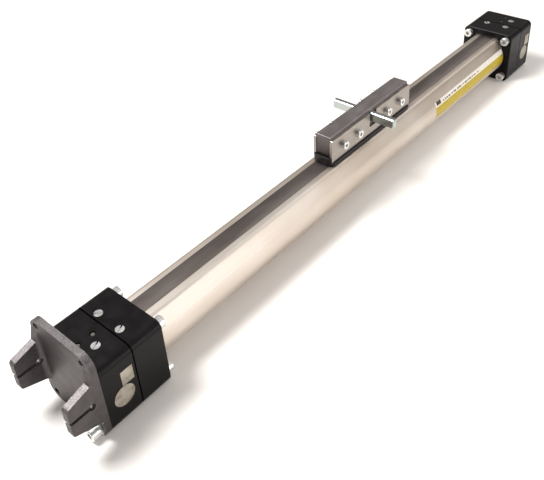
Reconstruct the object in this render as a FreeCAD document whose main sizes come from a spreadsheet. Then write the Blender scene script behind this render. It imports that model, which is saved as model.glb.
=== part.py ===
import FreeCAD, Part
import math
import os
import re
import Sketcher

# Rodless pneumatic cylinder with a slotted barrel, steel cover band and a
# carriage driven through the slot. X runs along the barrel, Z is up and the
# floor is Z = 0. Every size below is in millimetres.
os.makedirs("parts", exist_ok=True)
doc = FreeCAD.newDocument("rodless_cylinder")
dims = doc.addObject("Spreadsheet::Sheet", "Dims")

sizes = {
    # Barrel
    "bore_dia": 32.0,
    "wall": 4.5,
    "crown_rise": 0.2,
    "flank_angle": 27.0,
    "shoulder_round": 4.0,
    "clear_length": 495.0,
    "slot_width": 6.0,
    # Cover band on the crown and seal band in the bore
    "band_width": 13.5,
    "band_thick": 0.4,
    "band_run_in": 21.0,
    "arch_foot": 56.0,
    "arch_top": 24.0,
    "arch_rise": 8.7,
    "seal_width": 9.0,
    "seal_thick": 0.4,
    "seal_gap": 0.05,
    "dip_foot": 56.0,
    "dip_bottom": 26.0,
    "dip_depth": 6.5,
    # Magnet strips in the crown
    "magnet_width": 1.8,
    "magnet_depth": 1.5,
    "magnet_spacing": 11.0,
    "magnet_gap": 0.05,
    # Square end blocks
    "block_side": 54.0,
    "block_edge": 5.0,
    "block_chamfer": 0.5,
    "inner_block_length": 24.0,
    "outer_block_length": 26.0,
    "barrel_gap": 0.05,
    "band_side_gap": 0.3,
    "band_top_gap": 0.25,
    # Spigot, cushion bore and air port in the end caps
    "spigot_length": 18.0,
    "spigot_gap": 0.05,
    "ring_groove_width": 2.6,
    "ring_groove_depth": 1.7,
    "ring_groove_back": 7.0,
    "ring_squeeze": 0.02,
    "cushion_bore_dia": 13.8,
    "cushion_bore_depth": 34.0,
    "cushion_groove_back": 1.6,
    "cushion_groove_width": 2.4,
    "cushion_groove_depth": 1.6,
    "cushion_ring_gap": 0.15,
    "port_dia": 8.8,
    "port_depth": 10.0,
    "port_offset": 13.0,
    "passage_dia": 6.0,
    # Screws through the blocks
    "screw_pitch": 43.0,
    "cap_screw_pitch": 41.5,
    "screw_dia": 5.0,
    "screw_gap": 0.05,
    "thread_web": 3.0,
    "thread_end_gap": 1.0,
    "cap_head_dia": 8.5,
    "cap_head_height": 5.0,
    "cap_socket_width": 4.0,
    "cap_socket_depth": 2.6,
    "cap_edge": 0.4,
    # Band clamp and its slotted set screws
    "clamp_width": 29.0,
    "clamp_length": 10.4,
    "clamp_thick": 2.0,
    "clamp_gap": 0.2,
    "set_screw_dia": 6.0,
    "set_screw_gap": 0.05,
    "set_screw_offset": 19.2,
    "set_screw_spacing": 21.1,
    "slit_width": 1.2,
    "slit_depth": 1.5,
    "front_slit_turn": -27.0,
    "back_slit_turn": 38.0,
    "vent_dia": 1.2,
    "vent_depth": 1.5,
    # Cushion needle and channel plugs
    "needle_offset": 12.5,
    "needle_side": 9.0,
    "needle_head_dia": 6.0,
    "needle_head_height": 5.0,
    "needle_stem_dia": 4.0,
    "needle_gap": 0.05,
    "needle_tip_dia": 1.6,
    "needle_stem_length": 15.0,
    "needle_cone": 5.0,
    "plug_dia": 4.4,
    "plug_gap": 0.03,
    "plug_sink": 0.7,
    "plug_length": 4.0,
    "plug_round": 0.9,
    "plug_hole_depth": 6.5,
    "plug_near": 7.8,
    "plug_spacing": 11.2,
    "drill_dia": 2.0,
    # Foot bracket on one end
    "bracket_side": 7.5,
    "bracket_height": 70.0,
    "bracket_thick": 4.5,
    "bracket_corner": 9.0,
    "bracket_hole_dia": 5.6,
    "bracket_top_side": 6.5,
    "bracket_top_inset": 5.5,
    "fork_reach": 19.5,
    "fork_thick": 5.0,
    "fork_root_low": 9.5,
    "fork_root_high": 25.0,
    "fork_tip_low": 2.0,
    "fork_tip_high": 20.0,
    "fork_tip_round": 3.0,
    "fork_root_round": 3.5,
    "fork_hole_dia": 5.0,
    "fork_hole_offset": 3.8,
    "fork_hole_height": 8.8,
    "fork_slot": 2.6,
    "gusset_depth": 2.5,
    "washer_dia": 10.0,
    "washer_thick": 1.0,
    "spring_dia": 8.6,
    "spring_thick": 1.3,
    "spring_split": 0.8,
    "washer_gap": 0.3,
    # Carriage: driver, pistons and their rings
    "rest_offset": 12.3,
    "core_half": 58.0,
    "core_gap": 1.2,
    "web_half": 24.0,
    "web_gap": 0.3,
    "tunnel_gap": 0.35,
    "tunnel_side_gap": 0.7,
    "saddle_half": 46.0,
    "saddle_lift": 0.9,
    "saddle_gap": 0.05,
    "saddle_top_gap": 0.2,
    "rib_half": 30.0,
    "rib_depth": 0.95,
    "rib_height": 2.4,
    "rib_lift": 1.0,
    "tenon_dia": 16.0,
    "tenon_length": 12.0,
    "tenon_gap": 0.05,
    "piston_length": 20.0,
    "piston_gap": 0.3,
    "lip_width": 3.0,
    "lip_depth": 2.4,
    "lip_back": 2.0,
    "lip_gap": 0.04,
    "wear_width": 6.0,
    "wear_depth": 1.4,
    "wear_back": 3.0,
    "wear_gap": 0.1,
    "pin_dia": 3.0,
    "plunger_dia": 12.0,
    "plunger_length": 14.0,
    "plunger_nose": 2.0,
    # Carriage: yoke, plates, frame and cross bar
    "frame_gap": 0.3,
    "frame_height": 3.2,
    "frame_width": 21.2,
    "frame_corner": 6.0,
    "frame_window": 53.5,
    "frame_window_gap": 0.15,
    "frame_edge": 0.8,
    "frame_foot_edge": 0.4,
    "wall_height": 4.2,
    "wall_thick": 1.85,
    "wall_gap": 0.15,
    "wall_edge": 0.6,
    "yoke_setback": 0.5,
    "yoke_width": 14.0,
    "yoke_height": 22.9,
    "yoke_edge": 0.8,
    "yoke_arch_gap": 0.4,
    "plate_half": 58.5,
    "plate_thick": 2.3,
    "plate_height": 20.4,
    "plate_edge": 0.5,
    "plate_corner": 1.5,
    "plate_groove_gap": 0.1,
    "notch_half": 5.0,
    "notch_lift": 6.9,
    "notch_round": 1.5,
    "bar_width": 5.0,
    "bar_height": 8.5,
    "bar_length": 62.0,
    "bar_lift": 11.4,
    "bar_gap": 0.08,
    "bar_edge": 0.8,
    "side_screw_dia": 4.0,
    "side_screw_gap": 0.05,
    "side_screw_lift": 10.1,
    "side_screw_in": 22.0,
    "side_screw_out": 42.7,
    "side_head_dia": 7.0,
    "side_head_height": 3.2,
    "side_socket_width": 3.0,
    "side_socket_depth": 1.8,
    "side_tail": 10.0,
    "nut_width": 7.0,
    "nut_height": 3.2,
}

for row, (name, size) in enumerate(sizes.items(), start=1):
    dims.set("A%d" % row, name)
    dims.set("B%d" % row, str(size))
    dims.setAlias("B%d" % row, name)
doc.recompute()


# Lengths and levels that several pieces share. Levels count from the bore axis.
barrel_r = "(bore_dia / 2 + wall)"
crown = "(bore_dia / 2 + wall + crown_rise)"
barrel_half = "(clear_length / 2 + inner_block_length)"
end_x = "(clear_length / 2)"
outer_face = "(inner_block_length + outer_block_length)"
middle_x = "((bracket_thick + fork_reach) / 2)"
axis_z = "(block_side / 2)"
band_top = f"({crown} + band_thick)"
clamp_top = f"({band_top} + clamp_thick)"
clamp_start = "(inner_block_length - clamp_gap - clamp_length)"
spigot_r = "(bore_dia / 2 - spigot_gap)"
spigot_face = "(inner_block_length - spigot_length)"
seal_r = "(bore_dia / 2 + seal_thick)"
port_x = "(inner_block_length + port_offset)"
thread_depth = "((outer_block_length - thread_web) / 2)"
screw_reach = f"({thread_depth} - thread_end_gap)"
bracket_width = "(screw_pitch + 2 * bracket_side)"
bracket_top_pitch = f"({bracket_width} - 2 * bracket_top_side)"
frame_low = f"({band_top} + frame_gap)"
frame_top = f"({frame_low} + frame_height)"
frame_half = "(plate_half + wall_gap + wall_thick)"
yoke_half = "(plate_half - yoke_setback)"
yoke_top = f"({frame_top} + yoke_height)"
plate_top = f"({frame_top} + plate_height)"
bar_low = f"({frame_top} + bar_lift)"
side_screw_z = f"({frame_top} + side_screw_lift)"
piston_face = "(core_half + piston_length)"
saddle_low = f"({crown} + saddle_lift)"
rib_low = f"({frame_top} + rib_lift)"
pin_x = "(core_half + wear_back + wear_width / 2)"


def bind(text):
    return re.sub(r"[a-z][a-z_]+", lambda m: "Dims." + m.group(0) if m.group(0) in sizes else m.group(0), text)


def value(text):
    return float(dims.evalExpression(bind(text)))


def new_body(name, frame="barrel"):
    # Every piece is drawn from the bore axis. An end piece starts at the inner
    # face of its block, a carriage piece at the middle of the carriage.
    body = doc.addObject("PartDesign::Body", name)
    body.Label = name
    start = {
        "barrel": middle_x,
        "end": f"{middle_x} + {end_x}",
        "carriage": f"{middle_x} + rest_offset",
        "bracket": f"{middle_x} - {end_x} - {outer_face}",
    }[frame]
    if frame == "bracket":
        body.Placement = FreeCAD.Placement(FreeCAD.Vector(), FreeCAD.Rotation(FreeCAD.Vector(0, 0, 1), 180))
    body.setExpression("Placement.Base.x", bind(start))
    body.setExpression("Placement.Base.z", bind(axis_z))
    return body


def new_sketch(body, name, role, lift=None):
    sketch = body.newObject("Sketcher::SketchObject", name)
    plane = [item for item in body.Origin.OriginFeatures if item.Role == role][0]
    sketch.AttachmentSupport = [(plane, "")]
    sketch.MapMode = "FlatFace"
    if lift is not None:
        sketch.setExpression("AttachmentOffset.Base.z", bind(lift))
    return sketch


def fix(sketch, wanted):
    # Adds constraints and binds each to its size.
    added = sketch.addConstraint([item for item, text in wanted])
    for index, (item, text) in zip(added, wanted):
        if text is not None:
            name = "size%d" % index
            sketch.renameConstraint(index, name)
            sketch.setExpression("Constraints." + name, bind(text))


def at(edge, end, u, v):
    return [
        (Sketcher.Constraint("DistanceX", -1, 1, edge, end, value(u)), u),
        (Sketcher.Constraint("DistanceY", -1, 1, edge, end, value(v)), v),
    ]


def add_arc(sketch, start, stop, radius, side, wide=False):
    # Arc from start to stop, bulging left of that way for side 1 and right for
    # side -1. Returns the edge and which of its ends lies at the start.
    chord = stop - start
    reach = max(radius ** 2 - (chord.Length / 2) ** 2, 0.0) ** 0.5
    left = FreeCAD.Vector(-chord.y, chord.x, 0).normalize()
    centre = (start + stop) * 0.5 + left * (side * reach * (1 if wide else -1))
    begin, end = (stop, start) if side > 0 else (start, stop)
    low = math.atan2(begin.y - centre.y, begin.x - centre.x)
    high = math.atan2(end.y - centre.y, end.x - centre.x)
    if high <= low:
        high += 2 * math.pi
    ring = Part.Circle(centre, FreeCAD.Vector(0, 0, 1), radius)
    edge = sketch.addGeometry(Part.ArcOfCircle(ring, low, high), False)
    return edge, 2 if side > 0 else 1


def outline(sketch, corners, arcs=None):
    # Closed outline through the corners. An arc replaces the edge that leaves
    # its corner: (radius, 1 bulging left or -1 right, True for the long way).
    arcs = arcs or {}
    points = [FreeCAD.Vector(value(u), value(v), 0) for u, v in corners]
    edges = []
    for i, start in enumerate(points):
        stop = points[(i + 1) % len(points)]
        if i in arcs:
            radius, side, wide = arcs[i]
            edge, first = add_arc(sketch, start, stop, value(radius), side, wide)
        else:
            edge = sketch.addGeometry(Part.LineSegment(start, stop), False)
            first = 1
        edges.append((edge, first, 3 - first))
    wanted = []
    for i, (edge, first, last) in enumerate(edges):
        before, skip, joint = edges[i - 1]
        wanted.append((Sketcher.Constraint("Coincident", before, joint, edge, first), None))
        wanted += at(edge, first, *corners[i])
        if i in arcs:
            wanted.append((Sketcher.Constraint("Radius", edge, value(arcs[i][0])), arcs[i][0]))
    fix(sketch, wanted)


def rectangle(sketch, low_u, low_v, high_u, high_v):
    outline(sketch, [(low_u, low_v), (high_u, low_v), (high_u, high_v), (low_u, high_v)])


def circle(sketch, u, v, radius):
    ring = Part.Circle(FreeCAD.Vector(value(u), value(v), 0), FreeCAD.Vector(0, 0, 1), value(radius))
    edge = sketch.addGeometry(ring, False)
    fix(sketch, at(edge, 3, u, v) + [(Sketcher.Constraint("Radius", edge, value(radius)), radius)])


def slit(sketch, u, v, reach, turned):
    # Screwdriver slot through a screw head, turned from the X axis.
    corners = []
    for a, b, c in (("-", "+", "-"), ("+", "+", "-"), ("+", "-", "+"), ("-", "-", "+")):
        corners.append((
            f"{u} {a} {reach} * cos({turned}) {b} slit_width / 2 * sin({turned})",
            f"{v} {a} {reach} * sin({turned}) {c} slit_width / 2 * cos({turned})",
        ))
    outline(sketch, corners)


def hexagon(sketch, u, v, width):
    # Two corners point up and down, the flats are width apart.
    side = f"({width} / 2)"
    tip = f"({width} / sqrt(3))"
    outline(sketch, [
        (f"{u}", f"{v} + {tip}"),
        (f"{u} - {side}", f"{v} + {tip} / 2"),
        (f"{u} - {side}", f"{v} - {tip} / 2"),
        (f"{u}", f"{v} - {tip}"),
        (f"{u} + {side}", f"{v} - {tip} / 2"),
        (f"{u} + {side}", f"{v} + {tip} / 2"),
    ])


def pad(body, name, sketch, length, middle=False, back=False):
    feature = body.newObject("PartDesign::Pad", name)
    feature.Profile = sketch
    feature.SideType = "Symmetric" if middle else "One side"
    feature.Reversed = back
    feature.setExpression("Length", bind(length))
    doc.recompute()
    return feature


def pocket(body, name, sketch, length=None, middle=False, back=False):
    # Cuts to a depth, or right through when no length is given.
    before = body.Shape.Volume
    feature = body.newObject("PartDesign::Pocket", name)
    feature.Profile = sketch
    feature.SideType = "Symmetric" if middle else "One side"
    feature.Reversed = back
    if length is None:
        feature.Type = "ThroughAll"
    else:
        feature.setExpression("Length", bind(length))
    doc.recompute()
    if not body.Shape.Volume < before - 1e-6:
        raise RuntimeError("nothing cut by " + name)
    return feature


def turn(body, name, sketch, axis, cut=False):
    before = body.Shape.Volume if cut else 0.0
    feature = body.newObject("PartDesign::Groove" if cut else "PartDesign::Revolution", name)
    feature.Profile = sketch
    feature.ReferenceAxis = (sketch, [axis])
    feature.Angle = 360
    doc.recompute()
    if cut and not body.Shape.Volume < before - 1e-6:
        raise RuntimeError("nothing cut by " + name)
    return feature


def edges_of(feature, test):
    names = []
    for index, edge in enumerate(feature.Shape.Edges, start=1):
        if test(edge):
            names.append("Edge%d" % index)
    return names


def along(edge, axis):
    # True for a straight edge parallel to the axis.
    if edge.Curve.TypeId != "Part::GeomLine":
        return False
    way = edge.Vertexes[-1].Point - edge.Vertexes[0].Point
    return abs(way.normalize().dot(axis)) > 0.999


def soften(body, name, feature, test, size, kind="Fillet"):
    names = edges_of(feature, test)
    if not names:
        raise RuntimeError("no edges for " + name)
    round_off = body.newObject("PartDesign::" + kind, name)
    round_off.Base = (feature, names)
    round_off.setExpression("Radius" if kind == "Fillet" else "Size", bind(size))
    doc.recompute()
    return round_off


X_WAY = FreeCAD.Vector(1, 0, 0)
Y_WAY = FreeCAD.Vector(0, 1, 0)
Z_WAY = FreeCAD.Vector(0, 0, 1)
kept = []


def keep(piece):
    kept.append(piece)
    return piece


def mirror_to_near(body, name, middle=middle_x):
    # The near piece repeats the far one across the middle of the barrel, or of
    # the carriage.
    twin = doc.addObject("Part::Mirroring", name)
    twin.Label = name
    twin.Source = body
    twin.Normal = X_WAY
    twin.setExpression("Base.x", bind(middle))
    return keep(twin)


def s_curve(foot, top, base, rise, offset, side, falls=False):
    # Three points of a double bend of two equal arcs, moved up by offset.
    run = f"({foot} - {top})"
    bend = f"(({run} ^ 2 + {rise} ^ 2) / (4 * {rise}))"
    sine = f"({run} / (2 * {bend}))"
    cosine = f"(1 - {rise} / (2 * {bend}))"
    way = "-" if falls else "+"
    back = "+" if falls else "-"
    sign = "-" if side < 0 else ""
    points = [
        (f"{sign}({foot})", f"{base} + {offset}"),
        (f"{sign}(({foot} + {top}) / 2 {way} ({offset}) * {sine})", f"{base} {way} {rise} / 2 + ({offset}) * {cosine}"),
        (f"{sign}({top})", f"{base} {way} {rise} + {offset}"),
    ]
    return points, f"({bend} {back} ({offset}))", f"({bend} {way} ({offset}))"


def arched_region(sketch, foot, top, base, rise, low, high, reach, shift="0", falls=False):
    # Strip between two offsets of one arch, with straight runs out to reach.
    up_left, up_first, up_second = s_curve(foot, top, base, rise, high, -1, falls)
    up_right = s_curve(foot, top, base, rise, high, 1, falls)[0]
    low_left, low_first, low_second = s_curve(foot, top, base, rise, low, -1, falls)
    low_right = s_curve(foot, top, base, rise, low, 1, falls)[0]
    left_end = f"-({reach})"
    right_end = f"{reach}"
    corners = [(left_end, up_left[0][1])]
    corners += [(f"{u} + {shift}", v) for u, v in up_left + up_right[::-1]]
    corners += [(right_end, up_left[0][1]), (right_end, low_left[0][1])]
    corners += [(f"{u} + {shift}", v) for u, v in low_right + low_left[::-1]]
    corners += [(left_end, low_left[0][1])]
    turn_way = -1 if falls else 1
    arcs = {
        1: (up_first, -turn_way, False),
        2: (up_second, turn_way, False),
        4: (up_second, turn_way, False),
        5: (up_first, -turn_way, False),
        9: (low_first, turn_way, False),
        10: (low_second, -turn_way, False),
        12: (low_second, -turn_way, False),
        13: (low_first, turn_way, False),
    }
    outline(sketch, corners, arcs)


def barrel_skin(grow):
    # Outer form of the barrel, grown by a clearance: round below, straight
    # flanks tangent to the round and a flat crown with rounded shoulders.
    radius = f"({barrel_r} + {grow})"
    top = f"({crown} + {grow})"
    bend = f"(shoulder_round + {grow})"
    sharp = f"(({radius} - {top} * sin(flank_angle)) / cos(flank_angle))"
    tangent = f"({bend} * tan(45 - flank_angle / 2))"
    right = [
        (f"{sharp} - {tangent}", top),
        (f"{sharp} + {tangent} * sin(flank_angle)", f"{top} - {tangent} * cos(flank_angle)"),
        (f"{radius} * cos(flank_angle)", f"{radius} * sin(flank_angle)"),
    ]
    left = [(f"-({u})", v) for u, v in right[::-1]]
    return right, left, radius, bend


# Barrel
barrel = keep(new_body("barrel"))
section = new_sketch(barrel, "barrel_section", "YZ_Plane")
right, left, skin_r, skin_bend = barrel_skin("0")
recess_half = "(seal_width / 2 + seal_gap * 2)"
recess_r = f"({seal_r} + seal_gap)"
half_slot = "(slot_width / 2)"
in_slot = f"sqrt({recess_r} ^ 2 - {half_slot} ^ 2)"
in_recess = f"sqrt({recess_r} ^ 2 - {recess_half} ^ 2)"
in_bore = f"sqrt((bore_dia / 2) ^ 2 - {recess_half} ^ 2)"
corners = [(half_slot, crown)] + right + left + [
    (f"-{half_slot}", crown),
    (f"-{half_slot}", in_slot),
    (f"-{recess_half}", in_recess),
    (f"-{recess_half}", in_bore),
    (recess_half, in_bore),
    (recess_half, in_recess),
    (half_slot, in_slot),
]
outline(section, corners, {
    1: (skin_bend, 1, False),
    3: (skin_r, 1, True),
    5: (skin_bend, 1, False),
    8: (recess_r, -1, False),
    10: ("bore_dia / 2", -1, True),
    12: (recess_r, -1, False),
})
pad(barrel, "barrel_run", section, f"2 * {barrel_half}", middle=True)
grooves = new_sketch(barrel, "magnet_grooves", "YZ_Plane")
for side in ("-1", "1"):
    rectangle(grooves, f"{side} * magnet_spacing / 2 - magnet_width / 2 - magnet_gap",
              f"{crown} - magnet_depth - magnet_gap",
              f"{side} * magnet_spacing / 2 + magnet_width / 2 + magnet_gap", f"{crown} + wall")
pocket(barrel, "magnet_cut", grooves, f"2 * {barrel_half} + wall", middle=True)

# Magnet strips
strips = keep(new_body("magnet_strips"))
section = new_sketch(strips, "strip_section", "YZ_Plane")
for side in ("-1", "1"):
    rectangle(section, f"{side} * magnet_spacing / 2 - magnet_width / 2", f"{crown} - magnet_depth",
              f"{side} * magnet_spacing / 2 + magnet_width / 2", crown)
pad(strips, "strip_run", section, f"2 * {barrel_half}", middle=True)

# Cover band, lifted over the saddle of the carriage
band = keep(new_body("cover_band"))
section = new_sketch(band, "band_side", "XZ_Plane")
arched_region(section, "arch_foot", "arch_top", crown, "arch_rise", "0", "band_thick",
              f"{end_x} + band_run_in", "rest_offset")
pad(band, "band_run", section, "band_width", middle=True)

# Seal band, a curved strip that lies in the bore and dips under the web
seal = keep(new_body("seal_band"))
path = new_sketch(seal, "seal_path", "XZ_Plane")
mid_r = "(bore_dia / 2)"
left_half, bend_r, same_r = s_curve("dip_foot", "dip_bottom", mid_r, "dip_depth", "0", -1, True)
right_half = s_curve("dip_foot", "dip_bottom", mid_r, "dip_depth", "0", 1, True)[0]
stops = [(f"-({end_x} + band_run_in)", mid_r)]
stops += [(f"{u} + rest_offset", v) for u, v in left_half + right_half[::-1]]
stops += [(f"{end_x} + band_run_in", mid_r)]
bulges = {1: 1, 2: -1, 4: -1, 5: 1}
wanted = []
for i, stop in enumerate(stops[:-1]):
    start_at = FreeCAD.Vector(value(stop[0]), value(stop[1]), 0)
    stop_at = FreeCAD.Vector(value(stops[i + 1][0]), value(stops[i + 1][1]), 0)
    first = 1
    if i in bulges:
        edge, first = add_arc(path, start_at, stop_at, value(bend_r), bulges[i])
        wanted.append((Sketcher.Constraint("Radius", edge, value(bend_r)), bend_r))
    else:
        edge = path.addGeometry(Part.LineSegment(start_at, stop_at), False)
    if i:
        wanted.append((Sketcher.Constraint("Coincident", before, joint, edge, first), None))
    wanted += at(edge, first, *stop)
    before, joint = edge, 3 - first
wanted += at(before, joint, *stops[-1])
fix(path, wanted)
section = new_sketch(seal, "seal_section", "YZ_Plane", f"-({end_x} + band_run_in)")
half_seal = "(seal_width / 2)"
outline(section, [
    (f"-{half_seal}", f"sqrt({mid_r} ^ 2 - {half_seal} ^ 2)"),
    (half_seal, f"sqrt({mid_r} ^ 2 - {half_seal} ^ 2)"),
    (half_seal, f"sqrt({seal_r} ^ 2 - {half_seal} ^ 2)"),
    (f"-{half_seal}", f"sqrt({seal_r} ^ 2 - {half_seal} ^ 2)"),
], {0: (mid_r, 1, False), 2: (seal_r, -1, False)})
doc.recompute()
run = seal.newObject("PartDesign::AdditivePipe", "seal_run")
run.Profile = section
run.Spine = (path, [])
doc.recompute()

# Inner blocks, clamped round the barrel ends
inner = keep(new_body("far_inner_block", "end"))
half_block = "(block_side / 2)"
section = new_sketch(inner, "block_section", "YZ_Plane")
rectangle(section, f"-{half_block}", f"-{half_block}", half_block, half_block)
right, left, skin_r, skin_bend = barrel_skin("barrel_gap")
way = "(band_width / 2 + band_side_gap)"
outline(section, [(way, f"{crown} + barrel_gap")] + right + left + [
    (f"-{way}", f"{crown} + barrel_gap"),
    (f"-{way}", f"{band_top} + band_top_gap"),
    (way, f"{band_top} + band_top_gap"),
], {1: (skin_bend, 1, False), 3: (skin_r, 1, True), 5: (skin_bend, 1, False)})
run = pad(inner, "block", section, "inner_block_length")
run = soften(inner, "block_rounds", run, lambda e: along(e, X_WAY) and abs(e.Vertexes[0].Point.y) > value(half_block) - 0.1
             and abs(abs(e.Vertexes[0].Point.z) - value(half_block)) < 0.1, "block_edge")
run = soften(inner, "block_rim", run, lambda e: abs(e.BoundBox.XMax) < 1e-6
             and max(abs(e.BoundBox.YMax), abs(e.BoundBox.YMin), abs(e.BoundBox.ZMax), abs(e.BoundBox.ZMin))
             > value(half_block) - value("block_edge") - 0.01, "block_chamfer", "Chamfer")
holes = new_sketch(inner, "screw_holes", "YZ_Plane")
for u in ("-cap_screw_pitch / 2", "cap_screw_pitch / 2"):
    for v in ("-cap_screw_pitch / 2", "cap_screw_pitch / 2"):
        circle(holes, u, v, "screw_dia / 2 + screw_gap")
pocket(inner, "screw_cut", holes, back=True)
cavity = new_sketch(inner, "clamp_cavity", "XZ_Plane")
rectangle(cavity, clamp_start, f"{crown} - wall / 4", "inner_block_length + clamp_gap", f"{clamp_top} + clamp_gap")
pocket(inner, "clamp_cut", cavity, "clamp_width + 2 * clamp_gap", middle=True)
holes = new_sketch(inner, "set_screw_holes", "XY_Plane", half_block)
for side in ("-1", "1"):
    circle(holes, "set_screw_offset", f"{side} * set_screw_spacing / 2", "set_screw_dia / 2 + set_screw_gap")
pocket(inner, "set_screw_cut", holes, f"{half_block} - {clamp_top}")
vent = new_sketch(inner, "vent_hole", "XY_Plane", half_block)
circle(vent, "set_screw_offset - vent_dia", "0", "vent_dia / 2")
pocket(inner, "vent_cut", vent, "vent_depth")
mirror_to_near(inner, "near_inner_block")

# Outer blocks with the spigot that plugs the bore
outer = keep(new_body("far_outer_block", "end"))
section = new_sketch(outer, "cap_section", "YZ_Plane", "inner_block_length")
rectangle(section, f"-{half_block}", f"-{half_block}", half_block, half_block)
run = pad(outer, "cap", section, "outer_block_length")
run = soften(outer, "cap_rounds", run, lambda e: along(e, X_WAY), "block_edge")
run = soften(outer, "cap_rim", run, lambda e: abs(e.BoundBox.XMin - value(outer_face)) < 1e-6, "block_chamfer", "Chamfer")
section = new_sketch(outer, "spigot_section", "YZ_Plane", spigot_face)
circle(section, "0", "0", spigot_r)
pad(outer, "spigot", section, "spigot_length")
section = new_sketch(outer, "ring_groove", "XZ_Plane")
groove_start = "(inner_block_length - ring_groove_back - ring_groove_width)"
rectangle(section, groove_start, f"{spigot_r} - ring_groove_depth", f"{groove_start} + ring_groove_width",
          f"{spigot_r} + wall / 2")
turn(outer, "ring_cut", section, "H_Axis", cut=True)
section = new_sketch(outer, "cushion_bore", "YZ_Plane", spigot_face)
circle(section, "0", "0", "cushion_bore_dia / 2")
pocket(outer, "cushion_cut", section, "cushion_bore_depth", back=True)
section = new_sketch(outer, "cushion_groove", "XZ_Plane")
rectangle(section, f"{spigot_face} + cushion_groove_back", "cushion_bore_dia / 4",
          f"{spigot_face} + cushion_groove_back + cushion_groove_width", "cushion_bore_dia / 2 + cushion_groove_depth")
turn(outer, "cushion_groove_cut", section, "H_Axis", cut=True)
section = new_sketch(outer, "port_mouth", "XZ_Plane", f"-{half_block}")
circle(section, port_x, "0", "port_dia / 2")
pocket(outer, "port_cut", section, "port_depth", back=True)
section = new_sketch(outer, "port_passage", "XZ_Plane", f"-{half_block}")
circle(section, port_x, "0", "passage_dia / 2")
pocket(outer, "passage_cut", section, half_block, back=True)
seam_holes = new_sketch(outer, "cap_screw_holes", "YZ_Plane", "inner_block_length")
face_holes = new_sketch(outer, "face_thread_holes", "YZ_Plane", "inner_block_length + outer_block_length")
for holes, pitch in ((seam_holes, "cap_screw_pitch"), (face_holes, "screw_pitch")):
    for u in (f"-{pitch} / 2", f"{pitch} / 2"):
        for v in (f"-{pitch} / 2", f"{pitch} / 2"):
            circle(holes, u, v, "screw_dia / 2 + screw_gap")
pocket(outer, "cap_screw_cut", seam_holes, thread_depth, back=True)
pocket(outer, "face_thread_cut", face_holes, thread_depth)
needle_x = "(inner_block_length + needle_offset)"
hole = new_sketch(outer, "needle_head_hole", "XY_Plane", half_block)
circle(hole, needle_x, "-needle_side", "needle_head_dia / 2 + needle_gap")
pocket(outer, "needle_head_cut", hole, "needle_head_height")
hole = new_sketch(outer, "needle_stem_hole", "XY_Plane", half_block)
circle(hole, needle_x, "-needle_side", "needle_stem_dia / 2 + needle_gap")
pocket(outer, "needle_stem_cut", hole, half_block)
plug_x = ["(inner_block_length + plug_near)", "(inner_block_length + plug_near + plug_spacing)"]
hole = new_sketch(outer, "plug_holes", "XY_Plane", half_block)
for place in plug_x:
    circle(hole, place, "0", "plug_dia / 2 + plug_gap")
pocket(outer, "plug_cut", hole, "plug_hole_depth")
hole = new_sketch(outer, "channel_holes", "XY_Plane", half_block)
for place in plug_x:
    circle(hole, place, "0", "drill_dia / 2")
pocket(outer, "channel_cut", hole, half_block)
mirror_to_near(outer, "near_outer_block")

# Corner screws: four socket cap screws through the inner block
screws = keep(new_body("far_corner_screws", "end"))
section = new_sketch(screws, "head_section", "YZ_Plane", "-cap_head_height")
for u in ("-cap_screw_pitch / 2", "cap_screw_pitch / 2"):
    for v in ("-cap_screw_pitch / 2", "cap_screw_pitch / 2"):
        circle(section, u, v, "cap_head_dia / 2")
run = pad(screws, "heads", section, "cap_head_height")
soften(screws, "head_edges", run, lambda e: abs(e.BoundBox.XMax + value("cap_head_height")) < 1e-6, "cap_edge", "Chamfer")
section = new_sketch(screws, "shank_section", "YZ_Plane")
for u in ("-cap_screw_pitch / 2", "cap_screw_pitch / 2"):
    for v in ("-cap_screw_pitch / 2", "cap_screw_pitch / 2"):
        circle(section, u, v, "screw_dia / 2")
pad(screws, "shanks", section, f"inner_block_length + {screw_reach}")
section = new_sketch(screws, "socket_section", "YZ_Plane", "-cap_head_height")
for u in ("-cap_screw_pitch / 2", "cap_screw_pitch / 2"):
    for v in ("-cap_screw_pitch / 2", "cap_screw_pitch / 2"):
        hexagon(section, u, v, "cap_socket_width")
pocket(screws, "sockets", section, "cap_socket_depth", back=True)
mirror_to_near(screws, "near_corner_screws")

# Band clamp, a steel pad pressed on the band by two slotted set screws
pad_body = keep(new_body("far_band_clamp", "end"))
section = new_sketch(pad_body, "clamp_section", "XY_Plane", band_top)
rectangle(section, f"{clamp_start} + clamp_gap", "-clamp_width / 2",
          f"{clamp_start} + clamp_length", "clamp_width / 2")
pad(pad_body, "clamp_pad", section, "clamp_thick")
mirror_to_near(pad_body, "near_band_clamp")
pins = keep(new_body("far_clamp_screws", "end"))
section = new_sketch(pins, "pin_section", "XY_Plane", clamp_top)
for side in ("-1", "1"):
    circle(section, "set_screw_offset", f"{side} * set_screw_spacing / 2", "set_screw_dia / 2")
pad(pins, "pin_run", section, f"{half_block} - {clamp_top}")
section = new_sketch(pins, "slit_section", "XY_Plane", half_block)
slit(section, "set_screw_offset", "-set_screw_spacing / 2", "set_screw_dia", "front_slit_turn")
slit(section, "set_screw_offset", "set_screw_spacing / 2", "set_screw_dia", "back_slit_turn")
pocket(pins, "slit_cut", section, "slit_depth")
mirror_to_near(pins, "near_clamp_screws")

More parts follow.
